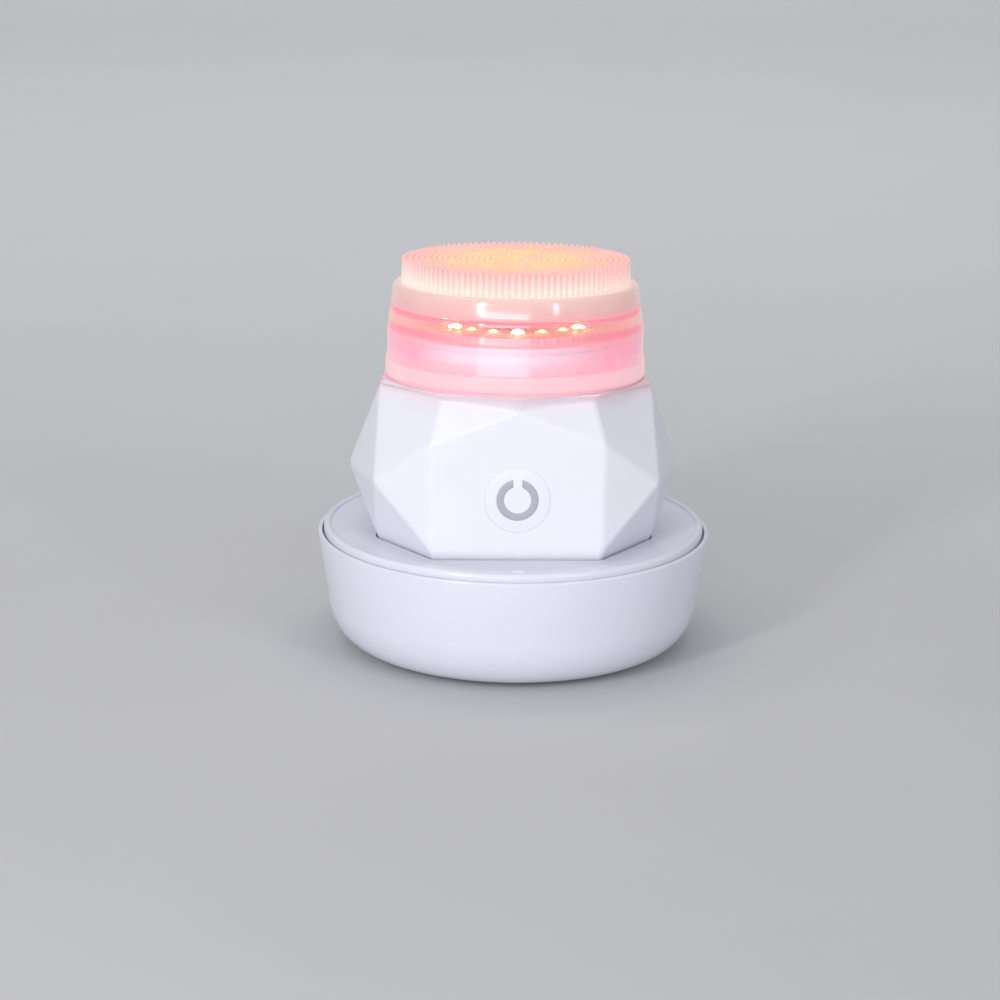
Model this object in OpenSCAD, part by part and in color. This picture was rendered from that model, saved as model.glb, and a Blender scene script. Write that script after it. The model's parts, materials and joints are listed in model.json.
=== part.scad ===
// Facial cleansing brush with a lit, oscillating silicone head, standing in its round charging dock.
// The origin is on the table under the dock's centre, +Z is up and the power button faces -Y.
// Azimuths are counted from the front, towards +X.

/* [Dock] */
// Outer radius of the dock at its rim
dock_r = 45; // [44.5:0.1:46]
// Height of the dock's rim above the table
dock_rim_z = 26.8; // [26.6:0.1:27.2]
// Radius of the flat underside
dock_base_r = 34; // [33:0.5:35]
// Height at which the rounded lower corner runs into the wall
dock_corner_z = 12.4; // [11:0.1:13]
// Wall thickness of the bowl
dock_wall = 2.2; // [2:0.1:2.4]
// Height of the rubber feet under the bowl
foot_h = 0.8; // [0.6:0.1:1]

/* [Handset] */
// Radius of the faceted body at its belt corners
belt_r = 38; // [37.5:0.1:38.5]
// Height of the belt corners
belt_z = 41.5; // [41:0.1:42]
// Radius of the lower ring of corners
lower_r = 32.6; // [32:0.1:33]
// Height of the lower ring of corners
lower_z = 27; // [26.8:0.1:27.2]
// Radius of the upper ring of corners
upper_r = 32; // [31.5:0.1:32.5]
// Height of the upper ring of corners
upper_z = 61; // [60.8:0.1:61.2]
// Height of the handset's underside in the cradle
heel_z = 16; // [15.9:0.1:16.3]
// Lean of the handset towards the back, in degrees
lean = 3; // [0:0.5:4]

/* [Lit collar and head] */
// Outer radius of the clear collar at its foot
collar_r = 29.7; // [29.5:0.1:29.8]
// Outer radius of the clear collar at its top
collar_top_r = 28.5; // [28.4:0.1:28.8]
// Height of the collar's top edge
collar_top_z = 78.9; // [78.7:0.05:79.1]
// Radius of the bristle field
bristle_r = 26; // [25.8:0.1:26.4]
// Overall height, to the tips of the bristles
top_z = 89.6; // [89:0.1:90.5]
// Number of lights round the board
led_count = 18; // [12:1:18]

/* [Power button] */
// Radius of the button's face
button_r = 7.4; // [7.2:0.1:7.6]
// Height of the button's centre
button_z = 39; // [38.5:0.1:39.5]
// Outer radius of the inlaid broken ring
ring_r = 4.7; // [4.6:0.1:5.2]

/* [Fits] */
// Radial clearance of the spindle in its bushes
shaft_fit = 0.05; // [0.03:0.01:0.08]
// Radial clearance of the power button in the shell
button_fit = 0.08; // [0.05:0.01:0.1]
// Gap round the handset in the cradle
cradle_gap = 0.5; // [0.4:0.05:0.6]

/* [Hidden] */
$fn = 96;
eps = 0.01;

// Dock heights and radii
floor_z = foot_h + dock_wall;
corner_r = dock_r - 2.25;
ledge_z = 24.2;
seam_r = dock_r - 0.95;
cover_r = seam_r - 0.3;
cover_crown_z = dock_rim_z + 1.65;
dish_z = dock_rim_z - 0.3;
dish_r = 34;
dish_t = 2;
cradle_floor_z = heel_z - 0.3;
cradle_wall = 1.6;
indicator_r = 1.7;
indicator_y = -36.5;
dock_foot_r = 4;
dock_foot_ring = 27.5;
dock_screw_ring = 24;
dock_board_z = 6;
dock_board_t = 1.2;
dock_board_y = 18;
dock_post_r = 1.6;
dock_screw_post_r = 3;
inlet_y = 41;
inlet_w = 7.4;
inlet_h = 2.6;
inlet_z = dock_board_z + dock_board_t + inlet_h/2;

// Handset: azimuths of the lower, belt and upper corners, front right to front left
ring_az = [36, 75.5, 110.5, 145.5, 180, 214.5, 249.5, 284.5, 324];
belt_az = [58, 93, 128, 163, 197, 232, 267, 302];
sides = len(belt_az);
heel_scale = 0.86;
front_lean = 0.028;
front_d = lower_r*cos(ring_az[0]);
shoulder_x = 19.5;
shoulder_z = 51.5;
apex_z = 59.2;
brow_d = 28.2;
shell_top_z = 62.7;
shell_top_r = 31.4;
shell_top_brow_d = 29.8;
inner_scale = 0.92;
inner_heel_scale = 0.8;
inner_rise = 0.97;
inner_heel_z = 18.6;
cap_scale = 0.93;
cap_t = 2;
base_screw_ring = 22.5;
screw_r = 0.9;
screw_head_r = 1.6;

// Pieces inside the handset
coil_t = 1.2;
coil_r = [7, 15];
ferrite_t = 0.8;
chassis_z = heel_z + cap_t + coil_t + ferrite_t;
battery_r = 8;
battery_l = 34;
battery_y = 2;
battery_z = chassis_z + 1 + battery_r;
board_y = -20;
board_t = 1.2;
switch_t = 1.6;

// Neck, drive and lights
opening_r = 20.4;
neck_r = 24.5;
neck_flange_z = 63.6;
neck_screw_ring = 22.4;
deck_z = 71.3;
deck_t = 1.6;
deck_r = 25.5;
can_r = 16.5;
can_wall = 1.2;
can_z = 46;
spindle_r = 2;
bush_r = 4;
rotor_z = 53;
rotor_h = 10;
rotor_r = 5.5;
magnet_r = 7.8;
air_gap = 0.7;
pole_count = 4;
pole_w = 5;
led_ring = 16;
led_board_t = 1.4;
led_w = 2.8;
led_board_r = [6, 21];

// Collar and head
seal_h = 0.5;
collar_wall = 1.7;
window_z = 76.2;
window_t = 1.6;
window_hole_r = 6.5;
rib_count = 3;
rib_az = 54;
rib_r = 25.2;
rib_depth = 2.9;
rib_w = 1.2;
rib_h = 5.6;
head_z = collar_top_z + 0.35;
carrier_t = 1.6;
carrier_r = 27.1;
hub_r = 5;
hub_z = window_z + window_t + 0.4;
drive_end_z = 83;
flat_d = 1.4;
pad_shoulder_z = 84.2;

// Power button
front_y = -(front_d + front_lean*(button_z - lower_z));
front_tilt = atan(front_lean);
shell_front_t = 2.12;
button_flange_r = button_r + 1;
ring_band = 1.65;
ring_depth = 0.35;

// A point at an azimuth counted from the front
function at(az, r, z) = [r*sin(az), -r*cos(az), z];

// Radius at azimuth az and height z on the plane through three points
function plane_r(p, q, s, az, z) =
    let (n = cross(q - p, s - p))
    (n*p - n.z*z)/(n.x*sin(az) - n.y*cos(az));

// Points of a quarter ellipse from the bottom centre round to the side
function quarter(c, a, b, steps = 10) =
    [for (i = [0:steps]) [c.x + a*sin(90*i/steps), c.y - b*cos(90*i/steps)]];

// Corner points of the faceted body: heel, lower, belt and upper rings, then shoulders, apex and brow
function body_points() =
    let (
        shoulder = [shoulder_x, -(front_d + front_lean*(shoulder_z - lower_z)), shoulder_z],
        belt_1 = at(belt_az[0], belt_r, belt_z),
        upper_2 = at(ring_az[1], upper_r, upper_z),
        upper_1_r = plane_r(upper_2, belt_1, shoulder, ring_az[0], upper_z)
    )
    concat(
        [for (a = ring_az) at(a, lower_r*heel_scale, heel_z)],
        [for (a = ring_az) at(a, lower_r, lower_z)],
        [for (a = belt_az) at(a, belt_r, belt_z)],
        [for (a = ring_az) at(a, (a == ring_az[0] || a == ring_az[sides]) ? upper_1_r : upper_r, upper_z)],
        [shoulder, [-shoulder.x, shoulder.y, shoulder.z]],
        [[0, -(front_d + front_lean*(apex_z - lower_z)), apex_z], [0, -brow_d, upper_z]]
    );

// The cavity has the same corners, drawn in towards the axis
function cavity_points() =
    let (n = sides + 1)
    [for (i = [0:len(body_points()) - 1])
        let (p = body_points()[i])
        i < n
            ? let (q = body_points()[i + n]*inner_scale*inner_heel_scale) [q.x, q.y, inner_heel_z]
            : [p.x*inner_scale, p.y*inner_scale, lower_z + (p.z - lower_z)*inner_rise]];

// The shell's flat top has the corners of the upper ring, drawn in a little
function top_points() = concat(
    [[0, -shell_top_brow_d, shell_top_z]],
    [for (a = ring_az) at(a, shell_top_r, shell_top_z)]
);

// Numbers of the upper ring's points, from the brow round to the front left
function upper_ring() =
    let (up = 2*(sides + 1) + sides)
    concat([up + sides + 4], [for (i = [0:sides]) up + i]);

// The shell's band between the upper ring and the top, and the top itself
function top_faces() =
    let (ring = upper_ring(), n = len(ring), first = len(body_points()))
    concat(
        [for (i = [0:n - 1]) let (j = (i + 1)%n) [ring[i], first + i, first + j, ring[j]]],
        [[for (i = [n - 1:-1:0]) first + i]]
    );

// The cavity's roof
function roof_face() = [let (ring = upper_ring(), n = len(ring)) [for (i = [n - 1:-1:0]) ring[i]]];

// Faces of the body below its upper ring, each clockwise as seen from outside
function body_faces() =
    let (
        n = sides + 1,
        heel = 0,
        low = n,
        belt = 2*n,
        up = 2*n + sides,
        right = up + n,
        left = right + 1,
        apex = right + 2,
        brow = right + 3
    )
    concat(
        [[for (i = [0:sides]) heel + i]],
        [for (i = [0:sides]) let (j = (i + 1)%n) [heel + i, low + i, low + j, heel + j]],
        [for (i = [0:sides - 1]) [low + i, belt + i, low + i + 1]],
        [for (i = [0:sides - 2]) [low + i + 1, belt + i, belt + i + 1]],
        [for (i = [0:sides - 2]) [up + i + 1, belt + i + 1, belt + i]],
        [for (i = [1:sides - 2]) [up + i, up + i + 1, belt + i]],
        [[up, up + 1, belt, right]],
        [[up + sides - 1, up + sides, left, belt + sides - 1]],
        [[apex, right, low, low + sides, left]],
        [[right, belt, low], [left, low + sides, belt + sides - 1]],
        [[apex, up, right], [apex, brow, up], [apex, left, up + sides], [apex, up + sides, brow]]
    );

// Outline of the lower ring of corners, for the cradle and the base
module heel_outline(k, grow = 0) {
    polygon([for (a = ring_az) let (p = at(a, lower_r*k + grow, 0)) [p.x, p.y]]);
}

// The space that the handset's lower part fills, from z0 up past the lower ring of corners
module cradle_block(z0, grow) {
    n = len(ring_az);
    above = 2;
    top_scale = 1 + (1 - heel_scale)*above/(lower_z - heel_z);
    polyhedron(
        points = concat(
            [for (a = ring_az) at(a, lower_r*heel_scale + grow, z0)],
            [for (a = ring_az) at(a, lower_r*top_scale + grow, lower_z + above)]
        ),
        faces = concat(
            [[for (i = [0:n - 1]) i], [for (i = [n - 1:-1:0]) n + i]],
            [for (i = [0:n - 1]) let (j = (i + 1)%n) [i, n + i, n + j, j]]
        )
    );
}

// A flat ring or tube
module tube(r_in, r_out, h) {
    difference() {
        cylinder(r = r_out, h = h);
        translate([0, 0, -1]) cylinder(r = r_in, h = h + 2);
    }
}

// Children repeated round the axis at a radius
module around(count, r, first = 0) {
    for (i = [0:count - 1]) rotate([0, 0, first + i*360/count]) translate([0, -r, 0]) children();
}

// Leans the handset back about the middle of its underside
module leaning() {
    translate([0, 0, heel_z]) rotate([-lean, 0, 0]) translate([0, 0, -heel_z]) children();
}

// Places children on the front facet, with their +Z pointing out of it
module on_front() {
    translate([0, front_y, button_z]) rotate([90 + front_tilt, 0, 0]) children();
}

// A pan-head screw, its head at the bottom
module screw(head_r, head_h, shank_r, length) {
    cylinder(r = head_r, h = head_h, $fn = 32);
    cylinder(r = shank_r, h = length, $fn = 32);
}

// ---------- Dock ----------

// Outside of the bowl, drawn in by t
module bowl_profile(t) {
    wall_r = dock_r - t;
    polygon(concat(
        [[0, foot_h + t]],
        quarter([dock_base_r - t/2, dock_corner_z], corner_r - dock_base_r - t/2, dock_corner_z - foot_h - t),
        [[wall_r, dock_rim_z - 1.2], [wall_r - 0.12, dock_rim_z - 0.45], [wall_r - 0.45, dock_rim_z],
         [0, dock_rim_z]]
    ));
}

module dock_bowl() {
    color([0.93, 0.92, 0.97])
    difference() {
        union() {
            difference() {
                rotate_extrude() bowl_profile(0);
                difference() {
                    rotate_extrude() bowl_profile(dock_wall);
                    // Ledge that carries the cover
                    translate([0, 0, ledge_z - 1.4]) tube(dock_r - dock_wall - 0.9, dock_r, 1.4);
                }
                translate([0, 0, ledge_z]) cylinder(r = seam_r, h = 10);
            }
            // Posts for the board, the indicator and the inlet
            for (x = [-8, 8], y = [dock_board_y + 3, dock_board_y + 15])
                translate([x, y, floor_z - eps])
                    cylinder(r = dock_post_r, h = dock_board_z - floor_z + eps, $fn = 32);
            translate([0, indicator_y + 1.5, floor_z - 0.5]) cylinder(r = 2.4, h = 9.5 - floor_z + 0.5, $fn = 32);
            intersection() {
                rotate_extrude() bowl_profile(0.4);
                translate([-8, inlet_y - 3.5, floor_z - 0.5]) cube([16, 6, 11]);
            }
        }
        // Screw heads sit in wells in the underside
        around(3, dock_screw_ring) {
            translate([0, 0, -1]) cylinder(r = 2.7, h = foot_h + 1 + 1.5, $fn = 32);
            translate([0, 0, -1]) cylinder(r = 1.35, h = 6, $fn = 32);
        }
        // Shallow seats for the feet
        around(4, dock_foot_ring, 45) translate([0, 0, -1]) cylinder(r = dock_foot_r, h = foot_h + 1.5);
        // Inlet: the socket's own hole and a wider mouth for the plug
        translate([-inlet_w/2, inlet_y - 5, inlet_z - inlet_h/2]) cube([inlet_w, 10, inlet_h]);
        translate([-5.4, inlet_y, inlet_z - 3.4]) cube([10.8, 10, 6.8]);
    }
}

module dock_cover() {
    color([0.94, 0.93, 0.97])
    difference() {
        union() {
            rotate_extrude() polygon([
                [0, dish_z], [dish_r, dish_z], [cover_r - 1.85, dock_rim_z + 1.2],
                [cover_r - 1.45, cover_crown_z - 0.15], [cover_r - 0.9, cover_crown_z],
                [cover_r - 0.35, cover_crown_z - 0.17], [cover_r, cover_crown_z - 0.6],
                [cover_r, ledge_z], [cover_r - 1.6, ledge_z], [cover_r - 1.6, dock_rim_z - 1.2],
                [dish_r, dish_z - dish_t], [0, dish_z - dish_t]
            ]);
            intersection() {
                leaning() cradle_block(cradle_floor_z - cradle_wall, cradle_gap + cradle_wall);
                translate([-dish_r - 2, -dish_r - 2, 0]) cube([2*dish_r + 4, 2*dish_r + 4, dish_z - 0.2]);
            }
            // Screw posts under the cradle's floor
            around(3, dock_screw_ring)
                translate([0, 0, 5]) cylinder(r = dock_screw_post_r, h = cradle_floor_z - 4.2, $fn = 32);
        }
        // The cradle follows the handset's hidden lower part
        leaning() cradle_block(cradle_floor_z, cradle_gap);
        around(3, dock_screw_ring) translate([0, 0, 4]) cylinder(r = 1.25, h = 9, $fn = 32);
        translate([0, indicator_y, 0]) cylinder(r = indicator_r, h = 40, $fn = 48);
    }
}

module dock_feet() {
    color([0.75, 0.75, 0.78])
    around(4, dock_foot_ring, 45) cylinder(r = dock_foot_r, h = foot_h + 0.5);
}

module dock_screws() {
    color("silver")
    around(3, dock_screw_ring) translate([0, 0, foot_h + 0.1]) screw(2.4, 1.4, 1.25, 11);
}

module dock_pcb() {
    color([0.1, 0.35, 0.2])
    union() {
        translate([-11, dock_board_y, dock_board_z]) cube([22, inlet_y - 5 - dock_board_y, dock_board_t]);
        // Driver chip and its coil
        translate([-4, dock_board_y + 2, dock_board_z + dock_board_t - eps]) cube([8, 6, 1.2]);
        translate([6, dock_board_y + 4, dock_board_z + dock_board_t - eps]) cube([3.5, 3.5, 1.6]);
    }
}

module dock_coil() {
    color([0.78, 0.45, 0.25])
    leaning()
    translate([0, 0, cradle_floor_z - cradle_wall - 1.4]) tube(coil_r[0], coil_r[1] + 1, 1.4);
}

module dock_ferrite() {
    color([0.2, 0.2, 0.22])
    leaning()
    translate([0, 0, cradle_floor_z - cradle_wall - 2.4]) cylinder(r = coil_r[1] + 2, h = 1);
}

module dock_light_pipe() {
    color([0.85, 0.9, 1])
    translate([0, indicator_y, 0]) {
        translate([0, 0, 13]) cylinder(r = indicator_r, h = dish_z + 0.45 - 13, $fn = 48);
        translate([0, 0, 22.6]) cylinder(r = 2.6, h = 1.6, $fn = 48);
    }
}

module dock_indicator_led() {
    color([0.95, 0.95, 0.85])
    translate([0, indicator_y + 0.5, 9.5]) {
        translate([-3, -2.2, 0]) cube([6, 4.4, 1]);
        translate([0, -0.5, 1 - eps]) cylinder(r = 1.4, h = 1, $fn = 32);
    }
}

module usb_inlet() {
    color("silver")
    translate([0, inlet_y - 5, inlet_z]) {
        difference() {
            translate([-inlet_w/2, 0, -inlet_h/2]) cube([inlet_w, 5, inlet_h]);
            translate([-inlet_w/2 + 0.35, 0.6, -inlet_h/2 + 0.35]) cube([inlet_w - 0.7, 6, inlet_h - 0.7]);
        }
        translate([-1.9, 0.5, 0.1]) cube([3.8, 3.6, 0.5]);
    }
}

// ---------- Handset, fixed pieces ----------

module body_shell() {
    color([0.95, 0.95, 0.98])
    leaning()
    difference() {
        union() {
            difference() {
                polyhedron(
                    points = concat(body_points(), top_points()),
                    faces = concat(body_faces(), top_faces())
                );
                polyhedron(points = cavity_points(), faces = concat(body_faces(), roof_face()));
                // Recess that takes the base
                translate([0, 0, heel_z - 1]) linear_extrude(inner_heel_z - heel_z + 1 + eps)
                    heel_outline(heel_scale*cap_scale);
            }
            // Posts for the base screws
            around(4, base_screw_ring, 45)
                translate([0, 0, inner_heel_z]) cylinder(r = 2.4, h = 5.4, $fn = 32);
        }
        around(4, base_screw_ring, 45)
            translate([0, 0, inner_heel_z - 1]) cylinder(r = screw_r, h = 5.6, $fn = 32);
        translate([0, 0, 55]) cylinder(r = opening_r, h = 10);
        around(4, neck_screw_ring, 45) translate([0, 0, 55]) cylinder(r = screw_r + 0.1, h = 10, $fn = 32);
        on_front() translate([0, 0, -6]) cylinder(r = button_r + button_fit, h = 10);
    }
}

module base_cap() {
    color([0.9, 0.9, 0.93])
    leaning()
    difference() {
        translate([0, 0, heel_z]) linear_extrude(cap_t) heel_outline(heel_scale*cap_scale, -0.1);
        around(4, base_screw_ring, 45) {
            translate([0, 0, heel_z - 1]) cylinder(r = screw_head_r + 0.1, h = 2.1, $fn = 32);
            translate([0, 0, heel_z - 1]) cylinder(r = screw_r + 0.1, h = 5, $fn = 32);
        }
    }
}

module base_seal() {
    color([0.7, 0.7, 0.74])
    leaning()
    translate([0, 0, heel_z + cap_t]) linear_extrude(inner_heel_z - heel_z - cap_t)
        difference() {
            heel_outline(heel_scale*cap_scale, -0.1);
            heel_outline(inner_heel_scale*inner_scale, -0.2);
            around(4, base_screw_ring, 45) circle(r = screw_head_r, $fn = 32);
        }
}

module base_screws() {
    color("silver")
    leaning()
    around(4, base_screw_ring, 45) translate([0, 0, heel_z]) screw(screw_head_r, 1, screw_r, 7);
}

module chassis() {
    color([0.25, 0.26, 0.3])
    leaning()
    difference() {
        union() {
            // Saddle for the battery
            translate([-battery_l/2 - 2, battery_y - 9.5, chassis_z]) cube([battery_l + 4, 19, 7]);
            // Upright that carries the board
            translate([-13, board_y + board_t, chassis_z]) cube([26, 1.2, 55 - chassis_z]);
            translate([-13, board_y + board_t, chassis_z]) cube([26, battery_y - 9.4 - board_y - board_t, 1.4]);
        }
        translate([-battery_l/2 - 0.2, battery_y, battery_z]) rotate([0, 90, 0])
            cylinder(r = battery_r + 0.1, h = battery_l + 0.4);
        // Wire way behind the board
        translate([-5, board_y, 43]) cube([10, 4, 6]);
    }
}

module battery() {
    color([0.35, 0.6, 0.35])
    leaning()
    translate([-battery_l/2, battery_y, battery_z]) rotate([0, 90, 0]) {
        cylinder(r = battery_r, h = battery_l - 1.2);
        cylinder(r = 2.6, h = battery_l);
    }
}

module main_pcb() {
    color([0.1, 0.35, 0.2])
    leaning()
    translate([-12, board_y, 24.5]) {
        cube([24, board_t, 30]);
        // Chips on the front of the board
        for (z = [3, 22]) translate([3, -1, z]) cube([5, 1 + eps, 5]);
        translate([16, -1.4, 22]) cube([4, 1.4 + eps, 4]);
    }
}

module rx_coil() {
    color([0.78, 0.45, 0.25])
    leaning()
    translate([0, 0, heel_z + cap_t]) tube(coil_r[0], coil_r[1], coil_t);
}

module rx_ferrite() {
    color([0.2, 0.2, 0.22])
    leaning()
    translate([0, 0, heel_z + cap_t + coil_t]) cylinder(r = coil_r[1] + 1.5, h = ferrite_t);
}

module tact_switch() {
    color([0.2, 0.2, 0.22])
    leaning()
    difference() {
        translate([-3, board_y - switch_t, button_z - 3]) cube([6, switch_t, 6]);
        translate([0, board_y - 0.2, button_z]) rotate([90, 0, 0]) cylinder(r = 1.7, h = 4, $fn = 48);
    }
}

module button_seal() {
    color([0.7, 0.7, 0.74])
    leaning()
    on_front() translate([0, 0, -shell_front_t - 1.2]) tube(button_flange_r + 0.4, button_flange_r + 2.2, 1.15);
}

module neck() {
    color([0.97, 0.96, 0.97])
    leaning()
    difference() {
        rotate_extrude() polygon([
            [opening_r - 0.75, shell_top_z - 2.2], [opening_r - 0.1, shell_top_z - 2.2],
            [opening_r - 0.1, shell_top_z], [collar_r - collar_wall - 0.1, shell_top_z],
            [collar_r - collar_wall - 0.1, neck_flange_z], [neck_r, neck_flange_z],
            [neck_r, deck_z - 0.5], [neck_r - 0.3, deck_z - 0.4], [neck_r - 0.3, deck_z - 0.05],
            [deck_r - 0.4, deck_z], [deck_r, deck_z + 0.4], [deck_r, deck_z + deck_t - 0.5],
            [deck_r - 0.5, deck_z + deck_t], [bush_r, deck_z + deck_t], [bush_r, deck_z],
            [neck_r - 1.9, deck_z], [neck_r - 1.9, neck_flange_z + 3.4],
            [opening_r - 0.75, neck_flange_z + 2.6]
        ]);
        around(4, neck_screw_ring, 45)
            translate([0, 0, shell_top_z - 1]) cylinder(r = screw_r, h = 4.4, $fn = 32);
    }
}

module neck_screws() {
    color("silver")
    leaning()
    around(4, neck_screw_ring, 45)
        translate([0, 0, lower_z + (upper_z - lower_z)*inner_rise - 1]) screw(screw_head_r, 1, screw_r, 6);
}

module drive_frame() {
    color([0.6, 0.62, 0.65])
    leaning()
    difference() {
        translate([0, 0, can_z]) {
            tube(can_r - can_wall, can_r, deck_z - can_z);
            tube(3.5, can_r, 1.6);
            translate([0, 0, deck_z - can_z - 1.2]) tube(can_r - can_wall, opening_r - 0.9, 1.2);
        }
        // Windows between the posts of the can
        for (a = [0:90:270]) rotate([0, 0, a + 45])
            translate([-4, can_r - 4, can_z + 4]) cube([8, 8, deck_z - can_z - 8]);
    }
}

module stator_core() {
    color([0.5, 0.5, 0.52])
    leaning()
    translate([0, 0, rotor_z]) difference() {
        union() {
            tube(can_r - can_wall - 2.2, can_r - can_wall - 0.05, rotor_h);
            for (a = [0:360/pole_count:359]) rotate([0, 0, a])
                translate([-pole_w/2, magnet_r, 0]) cube([pole_w, can_r - can_wall - 1 - magnet_r, rotor_h]);
        }
        translate([0, 0, -1]) cylinder(r = magnet_r + air_gap, h = rotor_h + 2);
    }
}

module stator_coils() {
    color([0.8, 0.47, 0.25])
    leaning()
    for (a = [0:360/pole_count:359]) rotate([0, 0, a]) difference() {
        translate([-pole_w/2 - 1.6, magnet_r + air_gap + 1, rotor_z - 1.6])
            cube([pole_w + 3.2, 2.7, rotor_h + 3.2]);
        translate([-pole_w/2, magnet_r, rotor_z]) cube([pole_w, 10, rotor_h]);
    }
}

module lower_bush() {
    color([0.75, 0.6, 0.35])
    leaning()
    translate([0, 0, can_z]) {
        tube(spindle_r + shaft_fit, 3.5, 1.6);
        translate([0, 0, 1.6]) tube(spindle_r + shaft_fit, 4.6, 0.9);
    }
}

module upper_bush() {
    color([0.75, 0.6, 0.35])
    leaning()
    translate([0, 0, deck_z]) {
        tube(spindle_r + shaft_fit, bush_r, deck_t);
        translate([0, 0, -0.9]) tube(spindle_r + shaft_fit, bush_r + 1, 0.9);
    }
}

module led_board() {
    color([0.97, 0.97, 0.97])
    leaning()
    translate([0, 0, deck_z + deck_t]) tube(led_board_r[0], led_board_r[1], led_board_t);
}

module leds() {
    color([1, 0.85, 0.5])
    leaning()
    around(led_count, led_ring) translate([0, 0, deck_z + deck_t + led_board_t]) {
        translate([-led_w/2, -led_w/2, 0]) cube([led_w, led_w, 0.7]);
        cylinder(r = 1.1, h = 1, $fn = 32);
    }
}

module housing_seal() {
    color([0.9, 0.88, 0.9])
    leaning()
    translate([0, 0, shell_top_z]) tube(collar_r - collar_wall, collar_r - 0.2, seal_h);
}

module light_housing() {
    seat_z = shell_top_z + seal_h;
    wide_r = collar_r - 0.5;
    color([1, 0.8, 0.82, 0.5])
    leaning() {
        rotate_extrude() polygon([
            [collar_r - collar_wall, seat_z], [collar_r - 0.2, seat_z], [collar_r, seat_z + 0.3],
            [collar_r - 0.15, seat_z + 3.8], [wide_r, seat_z + 10.4], [collar_top_r, collar_top_z - 0.3],
            [collar_top_r - 0.3, collar_top_z], [collar_top_r - collar_wall, collar_top_z],
            [collar_top_r - collar_wall, window_z + window_t], [window_hole_r, window_z + window_t],
            [window_hole_r, window_z], [collar_top_r - collar_wall - 0.6, window_z],
            [collar_top_r - collar_wall, window_z - 1.2], [collar_r - collar_wall, seat_z + 4]
        ]);
        // Ribs that key the collar to the neck
        around(rib_count, rib_r, rib_az)
            translate([-rib_w/2, -rib_depth, seat_z + 1.2]) cube([rib_w, rib_depth, rib_h]);
    }
}

module shaft_seal() {
    color([0.9, 0.88, 0.9])
    leaning()
    difference() {
        union() {
            translate([0, 0, window_z]) tube(spindle_r + 0.3, window_hole_r, window_t);
            translate([0, 0, window_z - 0.8]) tube(spindle_r + 0.3, window_hole_r + 1, 0.8);
        }
        // The lip is thinned round the spindle
        translate([0, 0, window_z + 0.9]) cylinder(r = spindle_r + 1.2, h = 3);
    }
}

// ---------- Power button ----------

module power_button() {
    color([0.95, 0.95, 0.98])
    leaning()
    on_front() difference() {
        union() {
            translate([0, 0, -shell_front_t - 0.3]) cylinder(r = button_r, h = shell_front_t + 0.3);
            translate([0, 0, -shell_front_t - 1.1]) cylinder(r = button_flange_r, h = 0.8);
            translate([0, 0, -4.55]) cylinder(r = 2, h = 2, $fn = 48);
        }
        translate([0, 0, -ring_depth]) broken_ring(1);
    }
}

// The inlaid ring, open for 2 mm at the top
module broken_ring(h) {
    difference() {
        tube(ring_r - ring_band, ring_r, h);
        translate([-1, 0, -1]) cube([2, ring_r + 1, h + 2]);
    }
}

module button_ring() {
    color([0.72, 0.73, 0.79])
    leaning()
    on_front() translate([0, 0, -ring_depth]) broken_ring(ring_depth);
}

module switch_plunger() {
    color([0.85, 0.3, 0.25])
    leaning()
    translate([0, board_y - 0.9, button_z]) rotate([90, 0, 0]) cylinder(r = 1.6, h = 1.1, $fn = 48);
}

// ---------- Oscillating drive ----------

module spindle() {
    color([0.8, 0.82, 0.85])
    leaning()
    difference() {
        union() {
            translate([0, 0, can_z - 0.4]) cylinder(r = spindle_r, h = drive_end_z - can_z + 0.4);
            translate([0, 0, can_z + 3.2]) cylinder(r = 3.2, h = 1);
            translate([0, 0, deck_z - 2.4]) cylinder(r = 3.2, h = 1);
        }
        // Flat that turns the head
        translate([-5, flat_d, hub_z - 0.2]) cube([10, 5, 10]);
    }
}

module armature() {
    color([0.5, 0.5, 0.52])
    leaning()
    translate([0, 0, rotor_z]) tube(spindle_r, rotor_r, rotor_h);
}

module armature_magnets() {
    color([0.35, 0.35, 0.38])
    leaning()
    translate([0, 0, rotor_z]) difference() {
        tube(rotor_r, magnet_r, rotor_h);
        for (a = [45:90:315]) rotate([0, 0, a]) translate([-0.6, 0, -1]) cube([1.2, 12, rotor_h + 2]);
    }
}

// ---------- Brush head ----------

module head_carrier() {
    color([0.98, 0.9, 0.9, 0.6])
    leaning()
    difference() {
        union() {
            translate([0, 0, head_z]) cylinder(r = carrier_r, h = carrier_t);
            translate([0, 0, hub_z]) cylinder(r = hub_r, h = drive_end_z + 1.1 - hub_z);
        }
        difference() {
            translate([0, 0, hub_z - 1])
                cylinder(r = spindle_r + shaft_fit, h = drive_end_z + 0.3 - hub_z + 1);
            translate([-5, flat_d + shaft_fit, hub_z - 2]) cube([10, 5, 12]);
        }
    }
}

module bristle_pad() {
    color([1, 0.7, 0.72])
    leaning()
    rotate_extrude() polygon([
        [hub_r, head_z + carrier_t], [carrier_r, head_z + carrier_t], [carrier_r, head_z],
        [collar_top_r - 0.1, head_z], [collar_top_r - 0.1, head_z + 0.6],
        [collar_top_r - 0.5, pad_shoulder_z - 0.9], [collar_top_r - 0.95, pad_shoulder_z - 0.3],
        [collar_top_r - 1.7, pad_shoulder_z], [bristle_r, pad_shoulder_z],
        [bristle_r, top_z], [0, top_z], [0, drive_end_z + 1.1], [hub_r, drive_end_z + 1.1]
    ]);
}

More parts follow.
